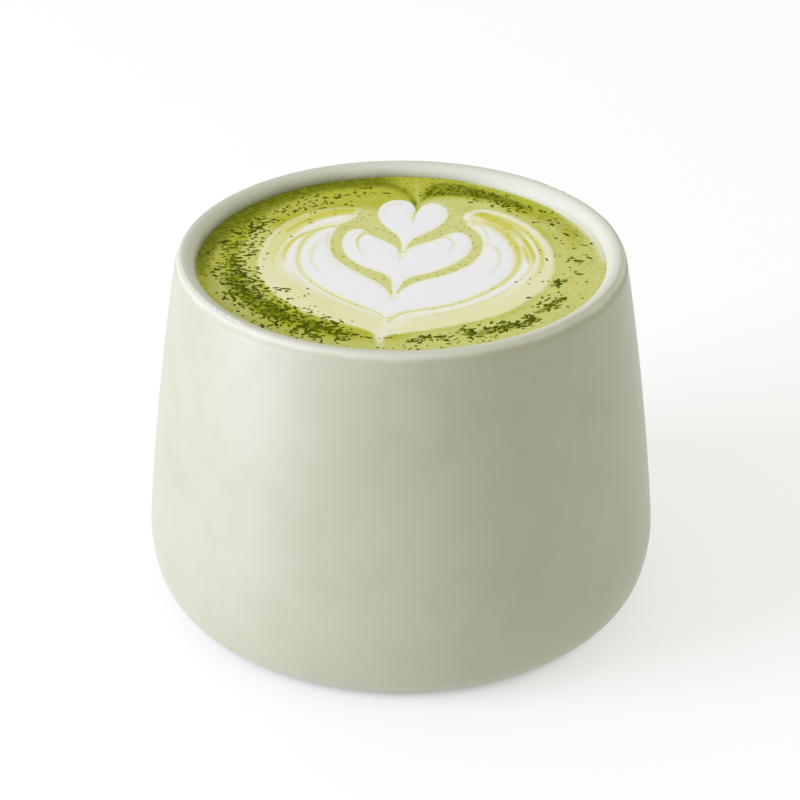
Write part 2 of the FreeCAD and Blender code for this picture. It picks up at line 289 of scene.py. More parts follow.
# thin swirls: (points, width, strength), green ones over milk and milk ones over green
greenThreads = [
    (leftEdge, (0.012, 0.013, 0.012, 0.01, 0.009, 0.009), (0.3, 0.75, 0.6, 0.5, 0.7, 0.35)),
    (rightEdge, (0.024, 0.024, 0.016, 0.012, 0.01, 0.01), (0.75, 0.9, 0.8, 0.65, 0.65, 0.75, 0.7)),
    # right side, from the tip outwards
    ([(0.36, 0.535), (0.41, 0.53), (0.46, 0.49), (0.51, 0.43), (0.56, 0.35), (0.6, 0.26), (0.632, 0.16),
      (0.645, 0.07), (0.64, -0.02), (0.61, -0.12), (0.56, -0.22), (0.47, -0.35), (0.35, -0.46),
      (0.2, -0.55), (0.03, -0.62)], (0.012, 0.02, 0.016, 0.012, 0.008, 0.007, 0.006),
     (0.5, 0.7, 0.7, 0.8, 0.5, 0.4, 0.45, 0.3)),
    ([(0.42, 0.552), (0.5, 0.505), (0.57, 0.43), (0.625, 0.34), (0.662, 0.24), (0.685, 0.13), (0.692, 0.04),
      (0.68, -0.07), (0.65, -0.16), (0.59, -0.27)], (0.009, 0.011, 0.012, 0.012, 0.008),
     (0.5, 0.75, 0.8, 0.95, 0.5, 0.1)),
    ([(0.6, 0.18), (0.613, 0.1), (0.622, 0.03), (0.625, -0.02)], (0.008, 0.012, 0.008), (0.9, 1, 0.4)),
    # left side, from the edge outwards
    ([(-0.3, 0.42), (-0.37, 0.405), (-0.44, 0.355), (-0.5, 0.3), (-0.545, 0.22), (-0.568, 0.13),
      (-0.575, 0.05), (-0.565, -0.03)], (0.008, 0.01, 0.013, 0.014, 0.01), (0.3, 0.7, 0.9, 1, 0.7, 0.1)),
    ([(-0.24, 0.575), (-0.3, 0.56), (-0.37, 0.535), (-0.44, 0.48), (-0.5, 0.41), (-0.55, 0.33),
      (-0.59, 0.24)], (0.012, 0.016, 0.012, 0.01, 0.009), (0.5, 0.8, 0.6, 0.5, 0.15)),
    ([(-0.25, 0.62), (-0.36, 0.6), (-0.46, 0.545), (-0.545, 0.455), (-0.605, 0.35), (-0.65, 0.23)],
     (0.008, 0.009, 0.01, 0.009), (0.3, 0.6, 0.75, 0.6, 0.2)),
    ([(-0.43, 0.44), (-0.51, 0.36), (-0.57, 0.26), (-0.61, 0.15), (-0.625, 0.04), (-0.61, -0.08)],
     (0.008, 0.01, 0.01, 0.007), (0.15, 0.35, 0.5, 0.4, 0.1)),
    # inside the hearts and the wing
    ([(-0.145, 0.315), (-0.175, 0.325), (-0.203, 0.295), (-0.217, 0.24), (-0.212, 0.17), (-0.19, 0.09),
      (-0.15, 0.01)], (0.012, 0.011, 0.008, 0.005), (0.7, 0.95, 0.6, 0.1)),
    ([(-0.18, 0.345), (-0.222, 0.328), (-0.25, 0.27), (-0.255, 0.2), (-0.24, 0.13)], (0.009, 0.007),
     (0.4, 0.3, 0.05)),
    ([(0.14, 0.275), (0.2, 0.283), (0.24, 0.262), (0.258, 0.21), (0.245, 0.14), (0.21, 0.07), (0.15, 0.01)],
     (0.01, 0.01, 0.006), (0.3, 0.5, 0.3, 0.05)),
    ([(0.21, 0.3), (0.26, 0.285), (0.29, 0.23), (0.28, 0.15)], (0.01, 0.008), (0.25, 0.05)),
    ([(0.0, 0.675), (-0.05, 0.665), (-0.076, 0.615), (-0.083, 0.55), (-0.072, 0.47)], (0.009, 0.008),
     (0.42, 0.3, 0.08)),
    ([(0.13, 0.655), (0.175, 0.65), (0.2, 0.6), (0.2, 0.53)], (0.016, 0.014), (0.16, 0.05)),
    ([(0.068, 0.56), (0.058, 0.47), (0.046, 0.38)], (0.009, 0.005), (0.75, 0.1)),
    ([(-0.006, 0.05), (-0.01, -0.03), (-0.012, -0.11)], (0.005, 0.004), (0.35, 0.05)),
    ([(-0.38, 0.27), (-0.42, 0.2), (-0.443, 0.1), (-0.435, 0.0), (-0.4, -0.1), (-0.35, -0.19)],
     (0.026, 0.016, 0.009), (0.16, 0.34, 0.28, 0.08)),
    ([(-0.362, 0.34), (-0.369, 0.23), (-0.362, 0.13)], (0.006, 0.006), (0.4, 0.3, 0.1)),
    ([(-0.385, 0.03), (-0.34, 0.0), (-0.28, -0.07), (-0.22, -0.12)], (0.008, 0.006), (0.3, 0.22, 0.05)),
    ([(0.4, 0.22), (0.435, 0.2), (0.47, 0.15), (0.485, 0.07), (0.475, -0.03), (0.43, -0.14), (0.35, -0.24),
      (0.2, -0.36)], (0.02, 0.013, 0.008), (0.2, 0.42, 0.28, 0.05)),
    ([(0.3, -0.06), (0.37, 0.0), (0.425, 0.05)], (0.009, 0.01), (0.3, 0.1)),
    ([(0.31, -0.1), (0.4, -0.03)], (0.006, 0.006), (0.2, 0.05)),
    ([(0.37, 0.47), (0.405, 0.4), (0.427, 0.31), (0.43, 0.21), (0.415, 0.12)], (0.008, 0.008, 0.006),
     (0.45, 0.5, 0.3, 0.05)),
    ([(0.355, 0.45), (0.385, 0.38), (0.405, 0.3)], (0.006, 0.005), (0.35, 0.1)),
]

# faint lines where the wing trails off to the point of the pour: (share of the way out, strength)
trails = [(0.17, 0.5), (0.26, 0.6), (0.34, 0.42), (0.43, 0.56), (0.53, 0.38), (0.66, 0.44), (0.8, 0.34)]
trailWidth = 0.0062
for share, strength in trails:
    curve = between(leftEdge, leftRim, share)[int(9 + 5 * share):]
    greenThreads.append((curve, trailWidth, (0.03, strength, 0.9 * strength, 0.7 * strength, 0.2)))
    curve = between(rightEdge, rightRim, share + 0.12)[13:]
    greenThreads.append((curve, trailWidth, (0.02, 0.45 * strength, 0.6 * strength, 0.35 * strength, 0.1)))

# a drop of green at each tip
tips = [(-0.05, -0.335), (-0.019, -0.335), (-0.009, 0.115), (0.014, 0.115), (-0.065, -0.6)]
dropWidth = 0.0075
greenThreads += [([(u, v), (u + 0.003, v)], dropWidth, 1) for u, v in tips]

milkThreads = [
    # white streaks beside the wing
    ([(-0.46, 0.33), (-0.5, 0.26), (-0.53, 0.16), (-0.54, 0.05), (-0.53, -0.07), (-0.49, -0.19),
      (-0.42, -0.31), (-0.33, -0.41)], (0.012, 0.024, 0.03, 0.028, 0.02), (0.6, 1, 1, 0.9, 0.6, 0.2)),
    ([(-0.275, 0.53), (-0.33, 0.5), (-0.4, 0.455), (-0.46, 0.4), (-0.52, 0.32), (-0.565, 0.23)],
     (0.014, 0.022, 0.02, 0.012, 0.01), (0.9, 1, 0.9, 0.6, 0.25)),
    ([(0.55, 0.36), (0.583, 0.29), (0.597, 0.2), (0.6, 0.1), (0.606, 0.0), (0.59, -0.1), (0.55, -0.2),
      (0.47, -0.31), (0.36, -0.41), (0.22, -0.49), (0.06, -0.55)],
     (0.007, 0.012, 0.016, 0.028, 0.034, 0.03, 0.02, 0.012), (0.7, 0.9, 0.9, 1, 1, 0.9, 0.8, 0.6)),
    ([(0.56, 0.4), (0.61, 0.3), (0.642, 0.22), (0.667, 0.12), (0.67, 0.02), (0.65, -0.08)],
     (0.007, 0.009, 0.012, 0.01), (0.3, 0.7, 0.8, 0.5, 0.2)),
    # the cream rim of the ring
    ([(-0.2, 0.615), (-0.3, 0.63), (-0.42, 0.59), (-0.52, 0.515), (-0.6, 0.4), (-0.65, 0.27),
      (-0.678, 0.13), (-0.68, -0.02)], (0.01, 0.014, 0.015, 0.015, 0.018),
     (0.15, 0.2, 0.22, 0.25, 0.2, 0.05)),
    ([(0.33, 0.5), (0.345, 0.55), (0.4, 0.59), (0.47, 0.575), (0.55, 0.51), (0.63, 0.41), (0.69, 0.29),
      (0.72, 0.17), (0.727, 0.04), (0.71, -0.1), (0.67, -0.22)],
     (0.018, 0.016, 0.012, 0.014, 0.02, 0.024, 0.026), (0.75, 0.7, 0.55, 0.4, 0.35, 0.25, 0.1)),
    ([(0.15, 0.305), (0.2, 0.352), (0.25, 0.4), (0.3, 0.428), (0.35, 0.425), (0.392, 0.385), (0.418, 0.3)],
     (0.006, 0.009, 0.01), (0.05, 0.35, 0.5)),
    ([(-0.31, 0.44), (-0.262, 0.49), (-0.225, 0.54), (-0.222, 0.58)], (0.007, 0.008, 0.006),
     (0.6, 0.7, 0.5)),
    ([(-0.2, 0.6), (-0.245, 0.575)], 0.006, (0.6, 0.2)),
    # where the drink thins against the wall, with a painted highlight along the meniscus
    ([(0.32, 0.942), (0.42, 0.903), (0.54, 0.838), (0.665, 0.742), (0.775, 0.626), (0.87, 0.48),
      (0.935, 0.34), (0.98, 0.18), (0.995, 0.0)], (0.012, 0.012, 0.015, 0.02, 0.026, 0.028, 0.026),
     (0.1, 0.6, 0.85, 0.85, 0.75, 0.65, 0.5, 0.3)),
    # the foot of the pour spreads to the wall
    ([(-0.1, -0.8), (-0.1, -0.87), (-0.098, -0.95)], (0.016, 0.024, 0.035), (0.4, 0.28, 0.06)),
]

# where the ring is greener
ringGreens = [
    ([(-0.2, 0.6), (-0.33, 0.57), (-0.46, 0.5), (-0.55, 0.4), (-0.62, 0.26), (-0.655, 0.1), (-0.64, -0.08)],
     (0.035, 0.06, 0.06, 0.05, 0.045, 0.04), (0.75, 0.8, 0.65, 0.5, 0.35, 0.15)),
    ([(0.62, -0.32), (0.68, -0.15), (0.7, 0.02), (0.69, 0.18)], 0.04, (0.1, 0.15, 0.15, 0.05)),
    ([(0.38, 0.57), (0.48, 0.52), (0.57, 0.42), (0.62, 0.32)], 0.025, (0.35, 0.35, 0.1)),
    ([(-0.2, 0.53), (-0.17, 0.61), (-0.2, 0.66)], 0.03, 0.5),
]

# where the tea is deepest
deepTea = [
    ([(-0.97, -0.12), (-0.97, 0.1), (-0.92, 0.32), (-0.82, 0.52), (-0.66, 0.72), (-0.45, 0.87),
      (-0.2, 0.96)], (0.04, 0.055, 0.1, 0.11, 0.1, 0.085, 0.075), (0.65, 0.95, 1, 1, 0.95, 0.95, 0.9)),
    ([(-0.3, 0.93), (-0.14, 0.925), (-0.03, 0.88), (0.03, 0.8), (0.058, 0.72), (0.066, 0.66)],
     (0.06, 0.06, 0.048, 0.032, 0.018, 0.012), (0.65, 0.8, 0.7, 0.62, 0.7, 0.8)),
    ([(0.068, 0.7), (0.068, 0.62), (0.068, 0.56)], (0.016, 0.01, 0.007), (0.8, 0.9, 0.8)),
    ([(-0.2, 0.96), (-0.1, 0.97), (0.0, 0.98)], 0.035, (0.8, 0.7, 0.3)),
    ([(0.38, 0.8), (0.53, 0.7), (0.65, 0.6), (0.75, 0.47), (0.82, 0.35), (0.86, 0.24), (0.87, 0.12)],
     (0.05, 0.06, 0.075, 0.07, 0.05), (0.6, 0.5, 0.32, 0.36, 0.3, 0.1)),
]

# olive patches on the ring, and the dark cloud of wet matcha behind the hearts
leftPatch = [(-0.21, 0.6), (-0.27, 0.63), (-0.34, 0.605), (-0.44, 0.54), (-0.52, 0.45), (-0.58, 0.35),
             (-0.555, 0.35), (-0.49, 0.44), (-0.41, 0.52), (-0.33, 0.56), (-0.27, 0.56), (-0.24, 0.58)]
rightPatch = [(0.33, 0.583), (0.385, 0.595), (0.455, 0.545), (0.525, 0.465), (0.585, 0.38), (0.63, 0.27),
              (0.652, 0.14), (0.661, 0.06), (0.651, 0.0), (0.634, 0.11), (0.6, 0.237), (0.552, 0.33),
              (0.497, 0.41), (0.43, 0.48), (0.373, 0.536)]
cloud = [(0.094, 0.64), (0.1, 0.72), (0.11, 0.8), (0.13, 0.87), (0.165, 0.915), (0.22, 0.935),
         (0.295, 0.92), (0.41, 0.86), (0.515, 0.78), (0.605, 0.69), (0.65, 0.625), (0.63, 0.61),
         (0.57, 0.645), (0.5, 0.69), (0.4, 0.735), (0.3, 0.765), (0.2, 0.765), (0.145, 0.745), (0.112, 0.7)]

# where matcha powder lies on the drink
powderDrifts = [
    ([(-0.64, 0.485), (-0.745, 0.38), (-0.805, 0.25), (-0.82, 0.1), (-0.825, -0.05), (-0.79, -0.2)],
     (0.055, 0.065, 0.07, 0.07, 0.075), (0.5, 0.72, 0.75, 0.75, 0.9)),
    ([(-0.79, -0.2), (-0.755, -0.33), (-0.675, -0.455), (-0.57, -0.565), (-0.45, -0.665), (-0.34, -0.735),
      (-0.24, -0.785)], (0.075, 0.08, 0.08, 0.08, 0.075, 0.065, 0.045), (0.95, 1, 1, 1, 1, 0.95, 0.65)),
    ([(-0.93, 0.15), (-0.91, -0.15), (-0.82, -0.44), (-0.66, -0.68), (-0.45, -0.86), (-0.25, -0.93)], 0.04,
     (0.2, 0.28, 0.3, 0.35, 0.3)),
    ([(-0.7, -0.265), (-0.62, -0.285), (-0.52, -0.315)], 0.016, (0.9, 0.6)),
    ([(-0.22, -0.77), (-0.15, -0.81), (-0.02, -0.83)], 0.04, (0.6, 0.25, 0.4)),
    ([(0.03, -0.85), (0.1, -0.81), (0.16, -0.8), (0.23, -0.84)], 0.018, (0.9, 1, 0.9)),
    ([(0.26, -0.75), (0.34, -0.775), (0.4, -0.74), (0.5, -0.69), (0.58, -0.655), (0.64, -0.6)],
     (0.035, 0.04, 0.03), (0.8, 1, 0.9)),
    ([(0.65, -0.54), (0.71, -0.47), (0.77, -0.4)], 0.03, (0.85, 1, 0.8)),
    ([(0.74, -0.25), (0.8, -0.2)], 0.03, (0.9, 0.7)),
    ([(0.56, -0.54), (0.7, -0.33), (0.79, -0.1), (0.84, 0.05), (0.84, 0.18), (0.79, 0.31), (0.73, 0.45),
      (0.66, 0.57)], (0.06, 0.06, 0.055, 0.05), (0.2, 0.22, 0.28, 0.44, 0.32, 0.38, 0.4)),
    ([(0.14, 0.8), (0.18, 0.89), (0.27, 0.87), (0.36, 0.82), (0.46, 0.76), (0.55, 0.67), (0.63, 0.6)],
     (0.03, 0.045, 0.055, 0.05, 0.045), (0.48, 0.6, 0.62, 0.6, 0.55)),
    ([(-0.62, 0.55), (-0.48, 0.65), (-0.38, 0.72), (-0.26, 0.77), (-0.08, 0.83)], 0.07,
     (0.5, 0.5, 0.42, 0.3)),
]

# single specks that fell further in, over the cream ring
speckTrails = [
    ([(-0.68, -0.1), (-0.63, -0.3), (-0.5, -0.46), (-0.33, -0.6), (-0.2, -0.68)], 0.06,
     (0.35, 0.6, 0.7, 0.6, 0.4)),
    ([(-0.68, 0.1), (-0.6, 0.3), (-0.5, 0.44), (-0.33, 0.56)], 0.05, (0.5, 0.45, 0.3)),
    ([(0.52, -0.4), (0.63, -0.2), (0.67, 0.0), (0.66, 0.2)], 0.07, (0.45, 0.4, 0.25)),
    ([(-0.85, 0.45), (-0.6, 0.66), (-0.3, 0.84), (-0.05, 0.88)], 0.09, 0.8),
    ([(0.9, 0.3), (0.93, 0.0), (0.88, -0.3), (0.7, -0.64), (0.4, -0.85)], 0.05, 0.3),
]

# where the tea is milky and pale
paleTea = [
    ([(-0.75, -0.62), (-0.45, -0.86), (0.0, -0.95), (0.45, -0.86), (0.78, -0.6), (0.93, -0.2), (0.93, 0.15),
      (0.87, 0.4)], (0.1, 0.12, 0.16, 0.16, 0.16, 0.14, 0.1), (0.35, 0.7, 0.9, 1, 1, 0.9, 0.5, 0.1)),
    ([(-0.72, 0.47), (-0.54, 0.64), (-0.36, 0.72), (-0.16, 0.74), (-0.02, 0.73)], (0.07, 0.09, 0.09, 0.05),
     (0.35, 0.38, 0.34, 0.3)),
    ([(0.93, 0.1), (0.93, 0.3), (0.83, 0.52), (0.69, 0.7), (0.5, 0.84)], (0.06, 0.04, 0.035, 0.03, 0.025),
     (0.6, 0.45, 0.45, 0.5, 0.4)),
    ([(0.14, 0.66), (0.25, 0.69), (0.4, 0.66), (0.52, 0.57), (0.66, 0.45)], 0.06, (0.9, 1, 1, 0.7, 0.6)),
    ([(0.08, 0.97), (0.08, 0.86), (0.083, 0.76), (0.084, 0.68)], (0.05, 0.03, 0.014, 0.007),
     (0.35, 0.45, 0.55, 0.35)),
    ([(0.75, 0.4), (0.79, 0.1), (0.77, -0.2), (0.66, -0.46), (0.45, -0.66), (0.1, -0.8)], 0.07,
     (0.7, 0.8, 0.7)),
    ([(-0.68, -0.4), (-0.73, -0.25), (-0.75, -0.05), (-0.74, 0.18), (-0.68, 0.37)], 0.06, (0.9, 1, 1, 0.8)),
    ([(-0.89, 0.22), (-0.9, 0.0), (-0.87, -0.3), (-0.75, -0.58)], 0.07, (0.3, 0.38, 0.7, 0.6)),
    ([(-0.02, -0.37), (-0.1, -0.2), (-0.24, -0.05), (-0.31, 0.08), (-0.32, 0.26), (-0.26, 0.42),
      (-0.17, 0.56)], (0.1, 0.1, 0.09), (1, 1, 1, 0.8)),
    ([(-0.02, -0.37), (0.08, -0.19), (0.24, -0.08), (0.35, 0.06), (0.38, 0.22), (0.33, 0.36), (0.3, 0.5),
      (0.24, 0.62)], (0.1, 0.1, 0.09), (1, 1, 1, 0.9)),
    ([(-0.13, 0.45), (-0.05, 0.25), (0.0, 0.12), (0.08, 0.25), (0.22, 0.4)], 0.1, 1),
]
print("outlines ready")


# the drink's surface: a fine web of triangles with real relief, and its body down to the cup's floor

surface = {"rings": 168, "bodyRings": 8, "milkRise": 0.00003, "milkEdge": (-0.01, 0.05),
           "creamRise": 0.00002, "creamEdge": (-0.01, 0.03), "lineDip": 0.8, "meniscus": 0.00012,
           "meniscusReach": 0.0008, "intoWall": 0.00006, "ripple": 0.000004, "waves": (1900, 1300, 2100)}
# the map's room goes to the surface, with a thin ring for the side and a corner for the underside
mapRoom = {"surface": 0.455, "sideStart": 0.457, "sideWidth": 0.033, "underAt": 0.09, "underSize": 0.06}
depthFields = ("milk", "outerMilk", "cream", "band", "cloud", "patch")
level = drinkHigh.z
sideHeights, sideRadii = np.array(sorted((v.co.z, math.hypot(v.co.x, v.co.y))
                                         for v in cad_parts["latte"].data.vertices)).T
drinkRadius = float(sideRadii[sideHeights > level - 1e-6].max())


def surfaceRise(radius):
    # the liquid climbs the wall a little
    return surface["meniscus"] * np.exp(-(drinkRadius - radius) / surface["meniscusReach"])


def webDisc(rings, radius):
    # ring k has 6k corners, so every triangle is about the same size
    x, y, starts = [0.0], [0.0], [0]
    for k in range(1, rings + 1):
        turn = np.linspace(0, 2 * math.pi, 6 * k, endpoint=False)
        starts.append(len(x))
        x.extend(radius * k / rings * np.cos(turn))
        y.extend(radius * k / rings * np.sin(turn))
    faces = [(0, 1 + k, 1 + (k + 1) % 6) for k in range(6)]
    for k in range(2, rings + 1):
        outer, inner = starts[k], starts[k - 1]
        for side in range(6):
            for step in range(k):
                a = outer + side * k + step
                b = outer + (side * k + step + 1) % (6 * k)
                c = inner + (side * (k - 1) + step) % (6 * (k - 1))
                faces.append((a, b, c))
                if step < k - 1:
                    d = inner + (side * (k - 1) + step + 1) % (6 * (k - 1))
                    faces.append((c, b, d))
    return np.array(x), np.array(y), faces, starts[rings]


def paintFields(x, y):
    # every layer of the pour as one number for each corner
    depth = {name: depthIn(points, x, y) for name, points in outlines.items()}
    offBand = -depth["greenBand"]
    fields = {"milk": np.maximum(np.maximum(depth["topHeart"], depth["middleHeart"]),
                                 np.minimum(depth["wing"], offBand)),
              "outerMilk": np.minimum(depth["outerWing"], offBand),
              "cream": np.minimum(depth["ring"], offBand), "band": depth["greenBand"],
              "cloud": depthIn(cloud, x, y),
              "patch": np.maximum(depthIn(leftPatch, x, y), depthIn(rightPatch, x, y))}
    shares, alongs, gaps = [], [], []
    for inner, outer in ((leftEdge, leftRim), (rightEdge, rightRim)):
        innerGap, along = nearest(softCurve(inner, steps=5), x, y)
        outerGap, _ = nearest(softCurve(outer, steps=5), x, y)
        shares.append(innerGap / (innerGap + outerGap + 1e-9))
        alongs.append(along)
        gaps.append(innerGap + outerGap)
    right = gaps[1] < gaps[0]
    fields["across"] = np.where(right, shares[1], shares[0])
    fields["along"] = np.where(right, alongs[1] + 3, alongs[0])
    for name, threads in (("greenLine", greenThreads), ("milkLine", milkThreads), ("deepTea", deepTea),
                          ("powder", powderDrifts), ("paleTea", paleTea), ("ringGreen", ringGreens)):
        fields[name] = np.zeros(len(x))
        for points, width, strength in threads:
            drawThread(fields[name], x, y, points, width, strength)
    return fields


def smooth(value, low, high):
    t = np.clip((value - low) / (high - low), 0, 1)
    return t * t * (3 - 2 * t)


def meshPiece(name, corners, faces):
    mesh = bpy.data.meshes.new(name)
    mesh.from_pydata(corners, [], faces)
    mesh.shade_smooth()
    piece = bpy.data.objects.new(name, mesh)
    bpy.context.collection.objects.link(piece)
    return piece


def storeFields(piece, fields):
    # corners under the surface lie outside every outline
    count = len(piece.data.vertices)
    for name, values in fields.items():
        whole = np.full(count, -1.0 if name in depthFields else 0.0)
        whole[:len(values)] = values
        layer = piece.data.attributes.new(name, "FLOAT", "POINT")
        layer.data.foreach_set("value", whole.astype(np.float32))


def mapDrink(piece, corners, topCount, rim, sideFaces):
    place = np.array(corners)
    reach = np.hypot(place[:, 0], place[:, 1])
    spread = mapRoom["surface"] * reach / reach[rim]
    side = np.arange(len(corners)) >= topCount
    deep = (level - place[side, 2]) / (level - drinkLow.z)
    spread[side] = mapRoom["sideStart"] + mapRoom["sideWidth"] * deep
    way = place[:, :2] / np.maximum(reach, 1e-9)[:, None]
    flat = 0.5 + way * spread[:, None]
    underside = mapRoom["underAt"] + mapRoom["underSize"] * place[:, :2] / max(sideRadii[0], 1e-9)
    used = np.empty(len(piece.data.loops), int)
    piece.data.loops.foreach_get("vertex_index", used)
    start = piece.data.polygons[sideFaces].loop_start
    chosen = flat[used]
    chosen[start:] = underside[used[start:]]
    piece.data.uv_layers.new(name="OFBake").data.foreach_set("uv", chosen.astype(np.float32).ravel())


def makeDrink():
    rings, bodyRings = surface["rings"], surface["bodyRings"]
    x, y, faces, rim = webDisc(rings, drinkRadius + surface["intoWall"])
    fields = paintFields(x / drinkRadius, y / drinkRadius)
    cream = smooth(fields["cream"], *surface["creamEdge"]) * (1 - surface["lineDip"] * fields["greenLine"])
    waveX, waveBend, waveY = surface["waves"]
    z = level + surfaceRise(np.hypot(x, y))
    z += surface["milkRise"] * smooth(fields["milk"], *surface["milkEdge"])
    z += surface["creamRise"] * cream
    z += surface["ripple"] * np.sin(x * waveX + 2 * np.sin(y * waveBend)) * np.sin(y * waveY + 1)
    corners = list(zip(x, y, z))
    print("drink surface:", len(faces), "triangles, radius", round(drinkRadius * 1000, 2), "mm")

    # the side goes down in rings along the inside of the cup, then the underside closes it
    around = 6 * rings
    turn = np.linspace(0, 2 * math.pi, around, endpoint=False)
    for k in range(1, bodyRings + 1):
        height = level - (level - drinkLow.z) * math.sin(math.pi / 2 * k / bodyRings)
        size = float(np.interp(height, sideHeights, sideRadii)) if k < bodyRings else float(sideRadii[0])
        first = len(corners)
        corners += [(size * math.cos(t), size * math.sin(t), height) for t in turn]
        above = rim if k == 1 else first - around
        faces += [(above + i, first + i, first + (i + 1) % around, above + (i + 1) % around)
                  for i in range(around)]
    first, centre, sideFaces = len(corners) - around, len(corners), len(faces)
    corners.append((0.0, 0.0, drinkLow.z))
    faces += [(first + (i + 1) % around, first + i, centre) for i in range(around)]

    piece = meshPiece("drink", corners, faces)
    storeFields(piece, fields)
    mapDrink(piece, corners, len(x), rim, sideFaces)
    return piece


# matcha that hasn't dissolved: bent grains in drifts, and finer dust round them

grains = {"density": 7800, "halfWidth": (0.00022, 0.00044), "length": (0.00045, 0.0018), "height": 0.00009,
          "swirl": 2.9, "lean": 0.5, "bend": 0.5, "wobble": 0.12, "uneven": (0.85, 1.1), "fullness": 2.5,
          "blunt": 0.03, "sink": 0.00002, "scatter": 0.7, "stations": 6, "archCorners": 4}
specks = {"density": 2300, "size": (0.00014, 0.00032), "squeeze": (0.6, 1), "scatter": 1.0, "strays": 190,
          "strayZone": (0.6, 0.93), "sink": 0.00001, "sides": 7, "shoulder": (0.75, 0.4), "top": 0.55}
# clumps along one radius, the share drawn to them and how far, and where powder stops before the wall
gathering = {"clumps": 18, "share": 0.5, "pull": 0.7, "shore": 0.972}


def driftSpots(drifts, density, scatter):
    # random places along the drifts, in drink radii, thicker where a drift is stronger
    spots = []
    for points, width, strength in drifts:
        curve = softCurve(points)
        run = runOf(curve)
        count = int(density * run[-1] * np.mean(width) * np.mean(np.square(strength)))
        share = random.random(count * 3)
        share = share[random.random(count * 3) < valueAt(share, strength) ** 2][:count]
        spread = valueAt(share, width) * scatter
        # grains gather in clumps, so many places are drawn towards a few centres
        clumps = np.sort(random.random(max(2, int(run[-1] * gathering["clumps"]))))
        nearestClump = clumps[np.abs(share[:, None] - clumps[None]).argmin(1)]
        gathered = share + (nearestClump - share) * gathering["pull"]
        share = np.where(random.random(len(share)) < gathering["share"], gathered, share)
        x = np.interp(share * run[-1], run, curve[:, 0]) + random.normal(0, 1, len(share)) * spread
        y = np.interp(share * run[-1], run, curve[:, 1]) + random.normal(0, 1, len(share)) * spread
        spots.append(np.c_[x, y])
    spots = np.vstack(spots)
    return spots[np.hypot(*spots.T) < gathering["shore"]]


def makeGrains():
    # each grain is a low rounded dash, lying the way the pour dragged it
    corners, faces = [], []
    arch = np.linspace(0, math.pi, grains["archCorners"])
    step, stations = len(arch), grains["stations"]
    for u, v in driftSpots(powderDrifts, grains["density"], grains["scatter"]):
        x, y = u * drinkRadius, v * drinkRadius
        heading = random.normal(-grains["swirl"] * u * v, grains["lean"])
        turn = random.normal(0, grains["bend"]) / stations
        width = random.uniform(*grains["halfWidth"])
        length = grains["length"][0] + (grains["length"][1] - grains["length"][0]) * random.random() ** 2
        first = len(corners)
        base = level + surfaceRise(math.hypot(x, y)) - grains["sink"]
        for k in range(stations):
            share = grains["blunt"] + (1 - 2 * grains["blunt"]) * k / (stations - 1)
            taper = (1 - abs(2 * share - 1) ** grains["fullness"]) ** 0.5 * random.uniform(*grains["uneven"])
            for a in arch:
                aside = width * taper * math.cos(a)
                corners.append((x - aside * math.sin(heading), y + aside * math.cos(heading),
                                base + grains["height"] * taper * math.sin(a)))
            heading += turn + random.normal(0, grains["wobble"])
            x += length / (stations - 1) * math.cos(heading)
            y += length / (stations - 1) * math.sin(heading)
        for k in range(stations - 1):
            for i in range(step - 1):
                a = first + step * k + i
                faces.append((a, a + 1, a + step + 1, a + step))
        last = first + step * (stations - 1)
        faces.append(tuple(range(first + step - 1, first - 1, -1)))
        faces.append(tuple(range(last, last + step)))
    print("grains:", len(faces), "faces")
    return meshPiece("grains", corners, faces)


def makeSpecks():
    spots = driftSpots(powderDrifts + speckTrails, specks["density"], specks["scatter"])
    turn = random.random(specks["strays"]) * 2 * math.pi
    far = np.sqrt(random.uniform(*specks["strayZone"], specks["strays"]))
    spots = np.vstack([spots, np.c_[far * np.cos(turn), far * np.sin(turn)]]) * drinkRadius
    sides = specks["sides"]
    corners, faces = [], []
    for x, y in spots:
        # each speck is a low dome: a foot ring, a shoulder ring and a top
        size = random.uniform(*specks["size"])
        base = level + surfaceRise(math.hypot(x, y)) - specks["sink"]
        first = len(corners)
        start, squeeze = random.random() * 3, random.uniform(*specks["squeeze"])
        for wide, up in ((1, 0), specks["shoulder"]):
            for k in range(sides):
                t = start + k * math.pi * 2 / sides
                corners.append((x + wide * size * math.cos(t), y + wide * size * squeeze * math.sin(t),
                                base + up * size))
        corners.append((x, y, base + size * specks["top"]))
        shoulder = first + sides
        for k in range(sides):
            after = (k + 1) % sides
            faces.append((first + k, first + after, shoulder + after, shoulder + k))
            faces.append((shoulder + k, shoulder + after, shoulder + sides))
    print("specks:", len(spots), "domes,", len(faces), "faces")
    return meshPiece("specks", corners, faces)


# finishes

glaze = {"body": tint(157, 160, 133), "pale": tint(163, 166, 140), "dark": tint(151, 154, 126),
         "rimGlazeAndLightLeft": tint(182, 183, 164), "rimGlazeAndLightRight": tint(199, 200, 182), "innerRimGlazeAndLight": tint(201, 202, 186),
         "breakLine": tint(174, 168, 142), "clay": tint(176, 160, 132), "filmAndShade": tint(114, 118, 62),
         "speckle": tint(120, 122, 96), "footShade": tint(112, 116, 84), "roughness": 0.45, "dryRoughness": 0.35,
         "coat": 0.7, "coatLoss": 0.52, "waver": 0.0008}
# how much of each glaze and painted shade shows
glazeShare = {"pale": 0.7, "dark": 0.45, "speckle": 0.2, "breakLine": 0.42, "filmAndShade": 0.92, "footShade": 0.7}
# where one glaze or painted shade turns into the next: heights from the top of the lip, heights from the
# foot, the lip's crest as a radius, and where the rim's painted light grows and the film's painted shade
# fades to the right
glazeEdges = {"innerLip": (-0.0034, -0.0026), "outerLip": (-0.0015, -0.0004), "breakLine": (-0.0024, -0.0014),
              "dry": (-0.0028, -0.0012), "filmAndShade": (-0.0029, -0.0003),
              "footShade": (0.0004, 0.0035), "clay": (0.0003, 0.0007),
              "crest": (0.0396, 0.0404), "rimLightSide": (-0.03, 0.03), "shadeSide": (-0.006, 0.022)}


